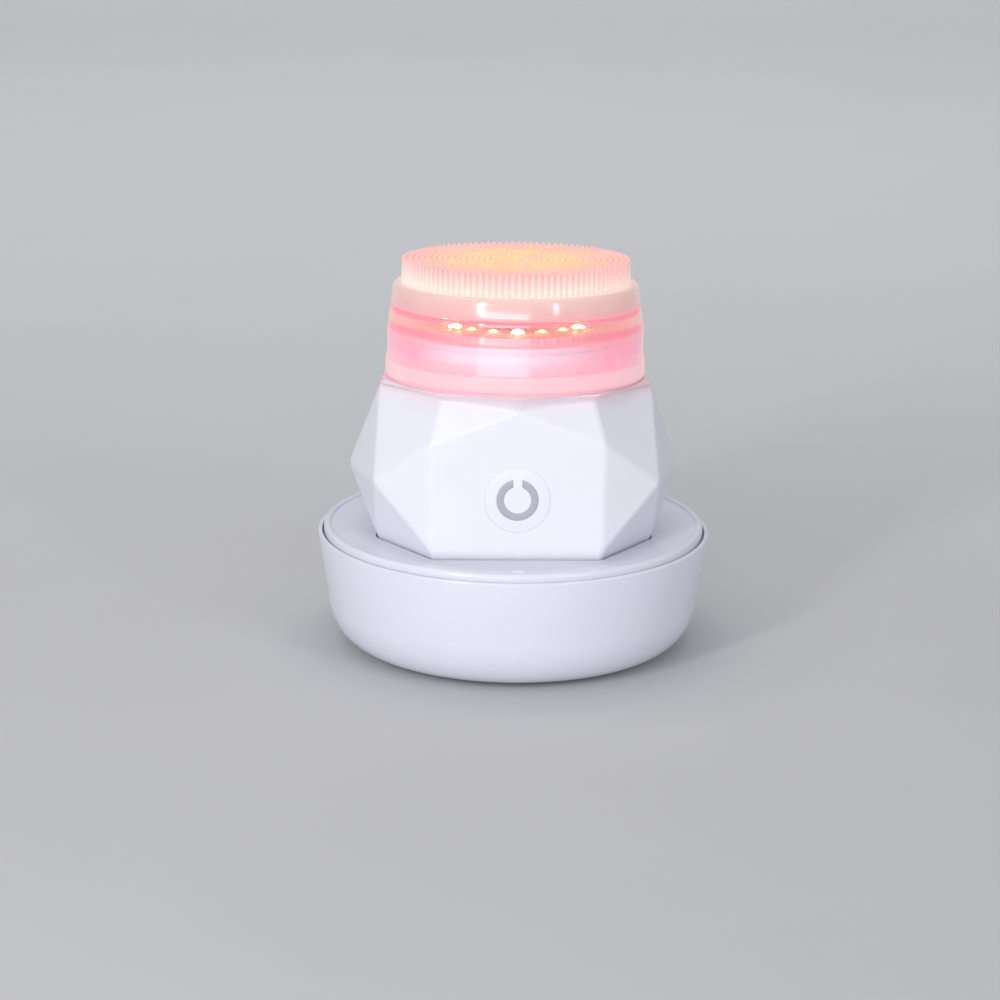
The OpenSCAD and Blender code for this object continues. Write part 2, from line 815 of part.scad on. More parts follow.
dock_bowl();
dock_cover();
dock_feet();
dock_screws();
dock_pcb();
dock_coil();
dock_ferrite();
dock_light_pipe();
dock_indicator_led();
usb_inlet();
body_shell();
base_cap();
base_seal();
base_screws();
chassis();
battery();
main_pcb();
rx_coil();
rx_ferrite();
tact_switch();
button_seal();
neck();
neck_screws();
drive_frame();
stator_core();
stator_coils();
lower_bush();
upper_bush();
led_board();
leds();
housing_seal();
light_housing();
shaft_seal();
power_button();
button_ring();
switch_plunger();
spindle();
armature();
armature_magnets();
head_carrier();
bristle_pad();
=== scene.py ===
"""Facial cleansing brush in its charging dock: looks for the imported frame.

Sizes are in millimetres and become metres when a mesh is made. The studio's are in metres.
Azimuths are counted from the front (-Y) towards +X, as in the frame.
"""

import json
import math

import bmesh
import bpy
from mathutils import Matrix, Vector

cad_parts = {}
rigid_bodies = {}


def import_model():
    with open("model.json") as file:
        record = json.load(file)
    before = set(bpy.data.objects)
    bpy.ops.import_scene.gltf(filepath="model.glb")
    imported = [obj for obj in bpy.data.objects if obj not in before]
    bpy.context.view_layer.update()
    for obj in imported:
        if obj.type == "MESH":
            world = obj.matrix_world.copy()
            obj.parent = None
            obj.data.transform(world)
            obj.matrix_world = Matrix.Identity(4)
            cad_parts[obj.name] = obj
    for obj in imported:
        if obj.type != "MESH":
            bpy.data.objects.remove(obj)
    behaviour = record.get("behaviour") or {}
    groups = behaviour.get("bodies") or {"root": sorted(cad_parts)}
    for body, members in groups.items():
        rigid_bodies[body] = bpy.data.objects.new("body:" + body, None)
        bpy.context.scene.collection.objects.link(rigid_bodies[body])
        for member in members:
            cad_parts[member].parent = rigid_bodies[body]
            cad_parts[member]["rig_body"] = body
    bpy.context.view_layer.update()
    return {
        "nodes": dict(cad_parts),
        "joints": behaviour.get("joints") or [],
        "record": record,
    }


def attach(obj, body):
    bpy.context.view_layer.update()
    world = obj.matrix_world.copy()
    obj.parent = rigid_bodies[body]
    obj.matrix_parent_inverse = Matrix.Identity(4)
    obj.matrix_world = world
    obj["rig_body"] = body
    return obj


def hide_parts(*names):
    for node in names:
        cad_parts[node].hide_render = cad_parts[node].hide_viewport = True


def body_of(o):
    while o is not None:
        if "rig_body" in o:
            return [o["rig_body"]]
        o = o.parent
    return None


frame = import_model()

# ---------- Sizes, from the frame ----------

MM = 0.001


def lean_of(joint_name):
    """The turn that leans the handset back, from the line of its spindle."""
    joint = next(j for j in frame["joints"] if j["name"] == joint_name)
    axis, point = Vector(joint["axis"]), Vector(joint["pos_m"])
    pivot = point - axis * (point.y / axis.y)
    turn = Matrix.Rotation(-math.atan2(axis.y, axis.z), 4, "X")
    return Matrix.Translation(pivot) @ turn @ Matrix.Translation(-pivot)


LEAN = lean_of("head_oscillation")


def span(node):
    """Lowest and highest corner of a node in mm; a handset node is measured as if it stood upright."""
    obj = frame["nodes"][node]
    undo = Matrix() if body_of(obj) == ["dock"] else LEAN.inverted()
    points = [undo @ v.co / MM for v in obj.data.vertices]
    low = Vector([min(p[i] for p in points) for i in range(3)])
    high = Vector([max(p[i] for p in points) for i in range(3)])
    return low, high


DOCK_R = span("dock_bowl")[1].x
RIM_Z = span("dock_bowl")[1].z
FOOT_H = span("dock_bowl")[0].z
COVER_R = span("dock_cover")[1].x
CROWN_Z = span("dock_cover")[1].z
LEDGE_Z = 24.2
SEAM_R = DOCK_R - 0.95
DISH_Z = RIM_Z - 0.3
DISH_R = 34
BOWL_BASE_R, BOWL_CORNER_Z, BOWL_WALL = 34, 12.4, 2.2
FOOT_R, FOOT_CIRCLE_R, FOOT_COUNT = 4, 27.5, 4
WELL_R, WELL_CIRCLE_R, WELL_COUNT = 2.7, 24, 3
PIPE_BORE_R, PIPE_Y = 1.72, -36.5
INLET_H, MOUTH_W, MOUTH_H = 2.6, 10.8, 6.8
CRADLE_GAP, CRADLE_WALL = 0.5, 1.6
HEEL_Z, SHELL_TOP_Z = span("body_shell")[0].z, span("body_shell")[1].z
BELT_R = 38
COLLAR_R = span("light_housing")[1].x
COLLAR_Z = span("light_housing")[0].z
COLLAR_TOP_Z = span("light_housing")[1].z
COLLAR_WALL = 1.7
WINDOW_INSET, WINDOW_Z, WINDOW_T = 3.6, 76.2, 1.6
DECK_Z = span("led_board")[0].z
DECK_R, DECK_T = 25.5, 1.6
NECK_R = 24.5
LED_BOARD_T = 1.4
LED_COUNT, LED_RING = 18, 16
RIB_COUNT, RIB_AZ, RIB_R, RIB_W = 3, 54, (25.2, 28.1), 1.2
PAD_R = span("bristle_pad")[1].x
PAD_Z = span("bristle_pad")[0].z
TOP_Z = span("bristle_pad")[1].z
SHOULDER_Z = 84.2
BRISTLE_FIELD_R, BRISTLE_PITCH = 26, 1.45
BRISTLE_FOOT_R, BRISTLE_TIP_R = 0.58, 0.45

# Corners of the faceted body, the same rule as the frame's shell
LOWER_AZ = [36, 75.5, 110.5, 145.5, 180, 214.5, 249.5, 284.5, 324]
BELT_AZ = [58, 93, 128, 163, 197, 232, 267, 302]
LOWER_R, LOWER_Z = 32.6, 27
UPPER_R, UPPER_Z = 32, 61
BELT_Z = 41.5
HEEL_SCALE = 0.86
FRONT_D = LOWER_R * math.cos(math.radians(LOWER_AZ[0]))
FRONT_LEAN = 0.028
SHOULDER = (19.5, 51.5)
APEX_Z = 59.2
BROW_D = 28.2
SHELL_TOP_R, SHELL_TOP_BROW_D = 31.4, 29.8
CAVITY_SCALE, BASE_H, NECK_HOLE_R = 0.92, 2.6, 20.4
BODY_BEVEL = 0.75
BUTTON_Z = 39
BUTTON_R = 7.4
RING_R, RING_BAND = 4.7, 1.65
FRONT_TILT = math.atan(FRONT_LEAN)

LATHE_SEGMENTS = 192


def front_y(z):
    """Y of the front facet at a height."""
    return -(FRONT_D + FRONT_LEAN * (z - LOWER_Z))


FRONT_Y = front_y(BUTTON_Z)


# ---------- Mesh helpers ----------


def make_object(name, verts, faces):
    """A mesh object from points in mm."""
    mesh = bpy.data.meshes.new(name)
    mesh.from_pydata([Vector(v) * MM for v in verts], [], faces)
    obj = bpy.data.objects.new(name, mesh)
    bpy.context.scene.collection.objects.link(obj)
    outward(obj)
    return obj


def from_bmesh(name, bm):
    """A mesh object from a bmesh in metres."""
    mesh = bpy.data.meshes.new(name)
    bmesh.ops.recalc_face_normals(bm, faces=bm.faces)
    bm.to_mesh(mesh)
    bm.free()
    obj = bpy.data.objects.new(name, mesh)
    bpy.context.scene.collection.objects.link(obj)
    return obj


def outward(obj):
    """Turns every face to point out."""
    bm = bmesh.new()
    bm.from_mesh(obj.data)
    bmesh.ops.recalc_face_normals(bm, faces=bm.faces)
    bm.to_mesh(obj.data)
    bm.free()


def apply_modifiers(obj):
    """Makes the modifiers part of the mesh."""
    graph = bpy.context.evaluated_depsgraph_get()
    mesh = bpy.data.meshes.new_from_object(obj.evaluated_get(graph))
    obj.modifiers.clear()
    old = obj.data
    obj.data = mesh
    bpy.data.meshes.remove(old)


def cut(obj, *cutters):
    """Takes the cutters out of obj."""
    for cutter in cutters:
        boolean = obj.modifiers.new("cut", "BOOLEAN")
        boolean.operation = "DIFFERENCE"
        boolean.solver = "EXACT"
        boolean.object = cutter
    apply_modifiers(obj)
    for cutter in cutters:
        mesh = cutter.data
        bpy.data.objects.remove(cutter)
        bpy.data.meshes.remove(mesh)


def shade(obj, angle=28):
    """Smooth shading, with creases where faces meet at more than the angle."""
    for polygon in obj.data.polygons:
        polygon.use_smooth = True
    bm = bmesh.new()
    bm.from_mesh(obj.data)
    for edge in bm.edges:
        edge.smooth = len(edge.link_faces) == 2 and edge.calc_face_angle(0) < math.radians(angle)
    bm.to_mesh(obj.data)
    bm.free()
    return obj


def arc(cx, cz, r, start, end, steps=8, squash=1.0):
    """Points of an arc in the r-z plane; 0 degrees points outward and 90 up."""
    points = []
    for i in range(steps + 1):
        a = math.radians(start + (end - start) * i / steps)
        points.append((cx + r * math.cos(a), cz + r * squash * math.sin(a)))
    return points


def lathe(name, profile, segments=None):
    """Turns a closed outline of (r, z) points round the axis."""
    segments = segments or LATHE_SEGMENTS
    verts, rows = [], []
    for r, z in profile:
        if r < 1e-6:
            rows.append([len(verts)] * segments)
            verts.append((0, 0, z))
            continue
        rows.append([len(verts) + i for i in range(segments)])
        for i in range(segments):
            a = 2 * math.pi * i / segments
            verts.append((r * math.sin(a), -r * math.cos(a), z))
    faces = []
    for k, row in enumerate(rows):
        above = rows[(k + 1) % len(rows)]
        for i in range(segments):
            j = (i + 1) % segments
            corner = []
            for v in (row[i], row[j], above[j], above[i]):
                if v not in corner:
                    corner.append(v)
            if len(corner) > 2:
                faces.append(corner)
    return make_object(name, verts, faces)


def at(azimuth, r, z):
    """A point at an azimuth counted from the front."""
    a = math.radians(azimuth)
    return Vector((r * math.sin(a), -r * math.cos(a), z))


def on_front():
    """Frame of the front facet at the button, +Z pointing out of it, in metres."""
    place = Matrix.Translation(Vector((0, FRONT_Y, BUTTON_Z)) * MM)
    return place @ Matrix.Rotation(math.pi / 2 + FRONT_TILT, 4, "X")


def adopt(obj, body, material, slot, *nodes):
    """Gives a piece its lean, body and material, and hides the nodes it stands for; the slot is not used."""
    if body != "dock":
        obj.matrix_world = LEAN @ obj.matrix_world
    obj.data.materials.clear()
    obj.data.materials.append(material)
    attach(obj, body)
    if nodes:
        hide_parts(*nodes)
    return obj


# ---------- Materials ----------


def grey(value):
    """A grey of the value, as a colour."""
    return (value,) * 3


class Nodes:
    """A material's node tree, with short calls for the nodes used here."""

    def __init__(self, name):
        self.material = bpy.data.materials.new(name)
        self.material.use_nodes = True
        self.tree = self.material.node_tree
        self.tree.nodes.clear()
        self.out = self.add("ShaderNodeOutputMaterial")
        self.shader = self.add("ShaderNodeBsdfPrincipled")
        self.link(self.shader.outputs["BSDF"], self.out.inputs["Surface"])
        self.place = self.add("ShaderNodeTexCoord").outputs["Object"]

    def add(self, kind, **values):
        node = self.tree.nodes.new(kind)
        for key, value in values.items():
            setattr(node, key, value)
        return node

    def link(self, a, b):
        self.tree.links.new(a, b)

    def set(self, **values):
        for key, value in values.items():
            self.shader.inputs[key.replace("_", " ")].default_value = value
        return self

    def noise(self, size_mm, detail=3.0):
        """Noise whose features are about size_mm across."""
        node = self.add("ShaderNodeTexNoise")
        self.link(self.place, node.inputs["Vector"])
        node.inputs["Scale"].default_value = 1.0 / (size_mm * MM)
        node.inputs["Detail"].default_value = detail
        return node.outputs["Fac"]

    def ramp(self, value, low, high, to_low, to_high):
        """Maps a value's range to another."""
        node = self.add("ShaderNodeMapRange")
        self.link(value, node.inputs["Value"])
        for key, number in (("From Min", low), ("From Max", high), ("To Min", to_low), ("To Max", to_high)):
            node.inputs[key].default_value = number
        return node.outputs["Result"]

    def mix(self, factor, a, b):
        """Mixes two colours by a factor; a and b are colours or sockets."""
        node = self.add("ShaderNodeMix", data_type="RGBA")
        sockets = [s for s in node.inputs if s.enabled]
        by_name = {s.name: s for s in sockets}
        if isinstance(factor, (int, float)):
            by_name["Factor"].default_value = factor
        else:
            self.link(factor, by_name["Factor"])
        for key, value in (("A", a), ("B", b)):
            if isinstance(value, (tuple, list)):
                by_name[key].default_value = tuple(value) + (1.0,)
            else:
                self.link(value, by_name[key])
        return [s for s in node.outputs if s.enabled][0]

    def bands(self, value, *stops):
        """Colour that changes along a value in mm; each stop is a place and its colour."""
        low, high = stops[0][0], stops[-1][0]
        node = self.add("ShaderNodeValToRGB")
        self.link(self.ramp(value, low, high, 0, 1), node.inputs["Fac"])
        elements = node.color_ramp.elements
        while len(elements) < len(stops):
            elements.new(0.5)
        for element, (place, colour) in zip(elements, stops):
            element.position = (place - low) / (high - low)
            element.color = (*colour, 1)
        return node.outputs["Color"]

    def bump(self, height, distance_mm, strength):
        """Bump from a height whose full range is distance_mm."""
        node = self.add("ShaderNodeBump")
        node.inputs["Strength"].default_value = strength
        node.inputs["Distance"].default_value = distance_mm * MM
        self.link(height, node.inputs["Height"])
        return node.outputs["Normal"]

    def height(self):
        """Height above the table, in mm."""
        split = self.add("ShaderNodeSeparateXYZ")
        self.link(self.place, split.inputs[0])
        return self.ramp(split.outputs["Z"], 0, 1, 0, 1000)

    def radius(self):
        """Distance from the upright axis, in mm."""
        flat = self.add("ShaderNodeVectorMath", operation="MULTIPLY")
        self.link(self.place, flat.inputs[0])
        flat.inputs[1].default_value = (1000, 1000, 0)
        length = self.add("ShaderNodeVectorMath", operation="LENGTH")
        self.link(flat.outputs["Vector"], length.inputs[0])
        return length.outputs["Value"]


def moulded(name, colour, roughness=0.3, grain_mm=0.25, grain=0.004, drift=0.03, **values):
    """Moulded plastic: faint colour drift, a fine moulded grain and uneven gloss."""
    n = Nodes(name)
    darker = tuple(c * (1 - drift) for c in colour)
    n.link(n.mix(n.noise(14, 2), darker, colour), n.shader.inputs["Base Color"])
    n.link(n.ramp(n.noise(8, 1), 0.2, 0.8, roughness * 0.9, roughness * 1.1), n.shader.inputs["Roughness"])
    n.link(n.bump(n.noise(grain_mm, 3), grain, 0.5), n.shader.inputs["Normal"])
    return n.set(**values)


def metal(name, colour, roughness=0.3, stretch=(1, 1, 12), size_mm=0.4):
    """Machined or drawn metal with fine lines along one axis."""
    n = Nodes(name)
    squeeze = n.add("ShaderNodeMapping")
    n.link(n.place, squeeze.inputs["Vector"])
    squeeze.inputs["Scale"].default_value = stretch
    lines = n.add("ShaderNodeTexNoise")
    n.link(squeeze.outputs["Vector"], lines.inputs["Vector"])
    lines.inputs["Scale"].default_value = 1.0 / (size_mm * MM)
    lines.inputs["Detail"].default_value = 4.0
    n.link(n.mix(lines.outputs["Fac"], tuple(c * 0.8 for c in colour), colour), n.shader.inputs["Base Color"])
    gloss = n.ramp(lines.outputs["Fac"], 0.3, 0.7, roughness * 0.75, roughness * 1.3)
    n.link(gloss, n.shader.inputs["Roughness"])
    n.link(n.bump(lines.outputs["Fac"], 0.01, 0.4), n.shader.inputs["Normal"])
    return n.set(Metallic=1.0)


def silicone(name, colour, roughness=0.45, scatter=0.5):
    """Soft silicone rubber with a matt, faintly uneven skin."""
    n = moulded(name, colour, roughness, grain_mm=0.35, grain=0.008)
    return n.set(Subsurface_Weight=scatter, Subsurface_Scale=2 * MM)


def windings(name, colour, pitch_mm=0.45):
    """Enamelled wire wound in rings."""
    n = Nodes(name)
    wave = n.add("ShaderNodeMath", operation="SINE")
    n.link(n.ramp(n.radius(), 0, 1, 0, 2 * math.pi / pitch_mm), wave.inputs[0])
    # The copper darkens between the turns: painted shade in the grooves between the wires
    n.link(n.mix(n.ramp(wave.outputs[0], -1, 1, 0, 1), tuple(c * 0.45 for c in colour), colour),
           n.shader.inputs["Base Color"])
    n.link(n.bump(wave.outputs[0], 0.12, 0.6), n.shader.inputs["Normal"])
    return n.set(Metallic=0.85, Roughness=0.32)


def circuit_board(name, colour):
    """Solder mask with faint tracks under it."""
    n = Nodes(name)
    tracks = n.add("ShaderNodeTexBrick")
    n.link(n.place, tracks.inputs["Vector"])
    tracks.inputs["Scale"].default_value = 260
    tracks.inputs["Mortar Size"].default_value = 0.03
    tracks.inputs["Color1"].default_value = (*colour, 1)
    tracks.inputs["Color2"].default_value = (*[c * 0.85 for c in colour], 1)
    tracks.inputs["Mortar"].default_value = (*[min(1, c * 1.6 + 0.03) for c in colour], 1)
    n.link(tracks.outputs["Color"], n.shader.inputs["Base Color"])
    n.link(n.bump(tracks.outputs["Fac"], 0.03, 0.4), n.shader.inputs["Normal"])
    return n.set(Roughness=0.38)


def collar_plastic():
    """Clear collar, lit pink from inside; its foot is frosted and its steps glow stronger."""
    n = Nodes("clear_collar")
    z = n.height()
    foot_top, step_top = COLLAR_Z + 3.9, COLLAR_Z + 6.0
    lamp_low, lamp_high = COLLAR_Z + 11.2, COLLAR_Z + 12.8
    pale, rose, deep, warm = (1.0, 0.62, 0.66), (1.0, 0.48, 0.56), (1.0, 0.30, 0.38), (1.0, 0.48, 0.42)
    glow = n.bands(z, (COLLAR_Z, (1.0, 0.50, 0.60)), (COLLAR_Z + 0.8, pale), (foot_top - 0.3, pale),
                   (foot_top, rose), (step_top, rose), (step_top + 0.5, (1.0, 0.44, 0.58)),
                   (lamp_low - 0.6, (1.0, 0.42, 0.50)), (lamp_low, deep), (lamp_high - 0.5, deep),
                   (lamp_high, warm), (COLLAR_TOP_Z - 1.0, warm), (COLLAR_TOP_Z - 0.7, deep),
                   (COLLAR_TOP_Z, deep))
    n.link(glow, n.shader.inputs["Emission Color"])
    cloud = n.ramp(n.noise(9, 2), 0.3, 0.7, 0.4, 0.5)
    n.link(n.mix(cloud, glow, (0.10, 0.04, 0.05)), n.shader.inputs["Base Color"])
    body = n.bands(z, (COLLAR_Z, grey(0.7)), (foot_top - 0.3, grey(0.6)), (foot_top, grey(0.3)),
                   (step_top, grey(0.22)), (step_top + 0.5, grey(0.08)), (lamp_low - 0.6, grey(0.1)),
                   (lamp_low, grey(0.35)), (lamp_high - 0.5, grey(0.35)), (lamp_high, grey(0.12)),
                   (COLLAR_TOP_Z - 1.0, grey(0.12)), (COLLAR_TOP_Z - 0.7, grey(0.7)),
                   (COLLAR_TOP_Z, grey(0.7)))
    # A wall seen edge-on is thicker, so it hides more of what lies behind
    edge = n.add("ShaderNodeLayerWeight")
    edge.inputs["Blend"].default_value = 0.35
    wall = n.mix(n.ramp(edge.outputs["Facing"], 0.08, 0.5, 0, 1), body, grey(0.96))
    window_edge = COLLAR_R - WINDOW_INSET
    n.link(n.mix(n.ramp(n.radius(), window_edge, window_edge + 0.5, 0, 1), grey(0.08), wall),
           n.shader.inputs["Alpha"])
    n.link(n.ramp(z, foot_top - 0.3, foot_top, 0.3, 0.06), n.shader.inputs["Roughness"])
    n.link(n.bump(n.noise(6, 1), 0.02, 0.4), n.shader.inputs["Normal"])
    return n.set(Emission_Strength=0.52, IOR=1.49, Coat_Weight=0.5, Coat_Roughness=0.04)


def bristle_silicone():
    """Translucent silicone with a painted glow: warm over the lights, pink at the rim and pale cream towards
    the bristles' feet.
    """
    n = Nodes("bristle_silicone")
    r = n.radius()
    rim = n.ramp(r, BRISTLE_FIELD_R * 0.45, BRISTLE_FIELD_R * 0.98, 0, 1)
    # The painted glow is patchy, between yellow and peach
    patchy_glow = n.ramp(n.noise(2.2, 2), 0.45, 0.62, 0, 1)
    warm = n.mix(patchy_glow, (1.0, 0.76, 0.42), (1.0, 0.68, 0.52))
    top = n.mix(rim, warm, (1.0, 0.60, 0.58))
    # The painted glow turns pale cream towards the bristles' feet
    low = n.ramp(n.height(), SHOULDER_Z + 1.0, TOP_Z - 0.6, 1, 0)
    side = n.mix(low, top, (1.0, 0.84, 0.76))
    n.link(side, n.shader.inputs["Emission Color"])
    n.link(n.mix(0.5, side, grey(0.02)), n.shader.inputs["Base Color"])
    n.link(n.ramp(n.noise(1.5, 3), 0.3, 0.7, 0.3, 0.42), n.shader.inputs["Roughness"])
    n.link(n.bump(n.noise(0.4, 2), 0.01, 0.4), n.shader.inputs["Normal"])
    return n.set(Emission_Strength=0.48, Subsurface_Weight=0.6, Subsurface_Scale=2.5 * MM)


def skirt_silicone():
    """The pad's smooth skirt: glossier than the bristles, with a painted glow that turns pink towards its
    foot.
    """
    n = Nodes("skirt_silicone")
    low = n.ramp(n.height(), PAD_Z, SHOULDER_Z, 1, 0)
    # Painted glow: pinker towards the foot, where the collar's light reaches it
    glow = n.mix(low, (1.0, 0.68, 0.62), (1.0, 0.52, 0.54))
    n.link(glow, n.shader.inputs["Emission Color"])
    n.link(n.mix(0.5, glow, grey(0.02)), n.shader.inputs["Base Color"])
    n.link(n.ramp(n.noise(4, 3), 0.3, 0.7, 0.16, 0.22), n.shader.inputs["Roughness"])
    n.link(n.bump(n.noise(5, 1), 0.02, 0.3), n.shader.inputs["Normal"])
    return n.set(Emission_Strength=0.42, Subsurface_Weight=0.5, Subsurface_Scale=2.5 * MM,
                 Coat_Weight=0.6, Coat_Roughness=0.06)


def body_plastic():
    """Satin white body, with the collar's pink light painted into its base colour near the top, where it
    meets the collar.
    """
    n = moulded("body_white", (0.82, 0.82, 0.89), 0.38, 0.8, 0.0025, Coat_Weight=0.1, Coat_Roughness=0.25)
    white = n.shader.inputs["Base Color"].links[0].from_socket
    collar_glow_mask = n.ramp(n.height(), UPPER_Z - 2.5, SHELL_TOP_Z + 0.3, 0, 1)
    # Painted glow: the white turns pink towards the top, standing in for the collar's light falling on it
    n.link(n.mix(collar_glow_mask, white, (0.97, 0.72, 0.78)), n.shader.inputs["Base Color"])
    return n


def lamp_glow(name, colour, middle, strength):
    """A lit lamp, hottest at its middle."""
    n = Nodes(name)
    n.link(n.mix(n.noise(1.2, 1), colour, middle), n.shader.inputs["Emission Color"])
    n.link(n.mix(n.noise(0.8, 1), (0.9, 0.85, 0.6), (1, 1, 0.9)), n.shader.inputs["Base Color"])
    return n.set(Emission_Strength=strength, Roughness=0.3)


def make_materials():
    """One material per slot of the record, and those of the pieces made here."""
    return {
        "dock_white": moulded("dock_white", (0.76, 0.76, 0.86), 0.22, Coat_Weight=0.25,
                              Coat_Roughness=0.12, Subsurface_Weight=0.1, Subsurface_Scale=1.5 * MM),
        "body_white": body_plastic(),
        # The neck's faint pink emission is painted glow from the lamps and collar
        "neck_white": moulded("neck_white", (0.95, 0.88, 0.95), 0.35, Emission_Color=(0.95, 0.8, 0.95, 1),
                              Emission_Strength=0.05),
        "dark_plastic": moulded("dark_plastic", (0.035, 0.037, 0.045), 0.45),
        "ring_grey": moulded("ring_grey", (0.42, 0.43, 0.50), 0.35),
        "plunger_red": moulded("plunger_red", (0.6, 0.06, 0.04), 0.4),
        "clear_collar": collar_plastic(),
        # The carrier's pink emission is painted glow from the lamps
        "clear_carrier": moulded("clear_carrier", (1.0, 0.62, 0.64), 0.15, Alpha=0.5,
                                 Emission_Color=(1.0, 0.4, 0.42, 1), Emission_Strength=0.3),
        "light_pipe": moulded("light_pipe", (0.9, 0.92, 1.0), 0.18, Subsurface_Weight=0.4,
                              Subsurface_Scale=2 * MM),
        "lamp": lamp_glow("lamp_amber", (1.0, 0.72, 0.16), (1.0, 0.88, 0.45), 7.0),
        "lamp_red": lamp_glow("lamp_red", (1.0, 0.50, 0.16), (1.0, 0.70, 0.30), 2.2),
        # The cases' warm emission is painted glow from the lamp lenses they hold
        "lamp_case": moulded("lamp_case", (1.0, 0.76, 0.62), 0.4, Emission_Color=(1.0, 0.6, 0.4, 1),
                             Emission_Strength=0.15),
        "bristle_silicone": bristle_silicone(),
        "skirt_silicone": skirt_silicone(),
        # The ribs' pink emission is painted glow from the lamps
        "collar_rib": moulded("collar_rib", (1.0, 0.5, 0.6), 0.2, Emission_Color=(1.0, 0.3, 0.42, 1),
                              Emission_Strength=0.5),
        "seal_silicone": silicone("seal_silicone", (1.0, 0.55, 0.62)),
        "foot_rubber": silicone("foot_rubber", (0.35, 0.35, 0.38), 0.6, 0.05),
        "steel": metal("steel", (0.62, 0.63, 0.65)),
        "core_steel": metal("core_steel", (0.3, 0.3, 0.31), 0.45, (1, 1, 40)),
        "magnet": metal("magnet", (0.7, 0.7, 0.71), 0.18),
        "ferrite": moulded("ferrite", (0.03, 0.03, 0.033), 0.6, grain=0.02),
        "copper_wire": windings("copper_wire", (0.85, 0.36, 0.16)),
        "bronze": metal("bronze", (0.66, 0.42, 0.18), 0.4),
        "circuit_board": circuit_board("circuit_board", (0.01, 0.16, 0.05)),
        "board_white": circuit_board("board_white", (0.85, 0.85, 0.85)),
        "battery_wrap": moulded("battery_wrap", (0.08, 0.3, 0.12), 0.25),
    }


def dress_frame(materials):
    """Gives every CAD node the material of its slot."""
    for part in frame["record"]["subparts"]:
        obj = frame["nodes"][part["node"]]
        obj.data.materials.clear()
        obj.data.materials.append(materials[part["material_slot"]].material)
        shade(obj, 24)


# ---------- Dock ----------


def bowl_outline():
    """Closed outline of the bowl: outside, rim, ledge and inside."""
    corner_r = DOCK_R - 2.25
    steps = 20
    outside = []
    for i in range(steps + 1):
        a = math.pi / 2 * i / steps
        outside.append((BOWL_BASE_R + (corner_r - BOWL_BASE_R) * math.sin(a),
                        BOWL_CORNER_Z - (BOWL_CORNER_Z - FOOT_H) * math.cos(a)))
    outside += arc(DOCK_R - 0.5, RIM_Z - 0.5, 0.5, 8, 90, 6)
    ledge_r, inner_r, floor_r = DOCK_R - BOWL_WALL - 0.9, DOCK_R - BOWL_WALL, BOWL_BASE_R - 1.1
    inside = arc(SEAM_R + 0.15, RIM_Z - 0.15, 0.15, 90, 180, 3)
    inside += [(SEAM_R, LEDGE_Z), (ledge_r, LEDGE_Z), (ledge_r, LEDGE_Z - 1.4), (inner_r, LEDGE_Z - 1.6)]
    for i in range(steps, -1, -2):
        a = math.pi / 2 * i / steps
        inside.append((floor_r + (corner_r - BOWL_BASE_R - 1.1) * math.sin(a),
                       BOWL_CORNER_Z - (BOWL_CORNER_Z - FOOT_H - BOWL_WALL) * math.cos(a)))
    return outside + inside + [(0, FOOT_H + BOWL_WALL), (0, FOOT_H)]


def rounded_slot(width, height, depth, corner, y, z):
    """A slot along Y with rounded corners, for cutting."""
    outline = []
    for cx, cz, start in ((1, 1, 0), (-1, 1, 90), (-1, -1, 180), (1, -1, 270)):
        for i in range(7):
            a = math.radians(start + 15 * i)
            outline.append((cx * (width / 2 - corner) + corner * math.cos(a),
                            z + cz * (height / 2 - corner) + corner * math.sin(a)))
    count = len(outline)
    verts = [(x, y, h) for x, h in outline] + [(x, y + depth, h) for x, h in outline]
    faces = [list(range(count)), list(range(2 * count - 1, count - 1, -1))]
    faces += [(i, count + i, count + (i + 1) % count, (i + 1) % count) for i in range(count)]
    return make_object("cutter", verts, faces)


def cylinder_cutter(r, z0, z1, x=0.0, y=0.0):
    """An upright cylinder for cutting."""
    obj = lathe("cutter", [(0, z0), (r, z0), (r, z1), (0, z1)], segments=64)
    obj.data.transform(Matrix.Translation(Vector((x, y, 0)) * MM))
    return obj


def build_dock(materials):
    """The bowl with its inlet, feet and screw wells, the dished cover and the cradle under it."""
    bowl = lathe("dock_bowl_shell", bowl_outline())
    inlet_low, inlet_high = span("usb_inlet")
    inlet_z = (inlet_low.z + inlet_high.z) / 2
    mouth_y = inlet_high.y
    cutters = [
        rounded_slot(inlet_high.x - inlet_low.x, INLET_H, 10, 1.2, mouth_y - 5, inlet_z),
        rounded_slot(MOUTH_W, MOUTH_H, 10, 1.6, mouth_y, inlet_z),
    ]
    for i in range(FOOT_COUNT):
        p = at(45 + 360 / FOOT_COUNT * i, FOOT_CIRCLE_R, 0)
        cutters.append(cylinder_cutter(FOOT_R + 0.05, -1, FOOT_H + 0.5, p.x, p.y))
    for i in range(WELL_COUNT):
        p = at(360 / WELL_COUNT * i, WELL_CIRCLE_R, 0)
        cutters.append(cylinder_cutter(WELL_R, -1, FOOT_H + 1.5, p.x, p.y))
    cut(bowl, *cutters)
    adopt(shade(bowl, 30), "dock", materials["dock_white"].material, "dock_white", "dock_bowl")

    cover_profile = [(0, DISH_Z), (DISH_R, DISH_Z), (COVER_R - 1.95, RIM_Z + 1.15)]
    cover_profile += arc(COVER_R - 0.95, CROWN_Z - 0.85, 0.85, 160, 0, 16)
    cover_profile += [(COVER_R - 0.1, LEDGE_Z), (COVER_R - 1.6, LEDGE_Z), (COVER_R - 1.6, RIM_Z - 1.2),
                      (DISH_R, DISH_Z - 2), (0, DISH_Z - 2)]
    cover = lathe("dock_cover_dish", cover_profile)
    cut(cover, cradle_block(0.0), cylinder_cutter(PIPE_BORE_R, 0, 40, 0, PIPE_Y))
    adopt(shade(cover, 30), "dock", materials["dock_white"].material, "dock_white")
    cradle = cradle_block(CRADLE_WALL)
    cut(cradle, cradle_block(0.0), cylinder_cutter(60, DISH_Z - 0.02, 60))
    cradle.name = "dock_cradle"
    adopt(shade(cradle, 30), "dock", materials["dock_white"].material, "dock_white", "dock_cover")


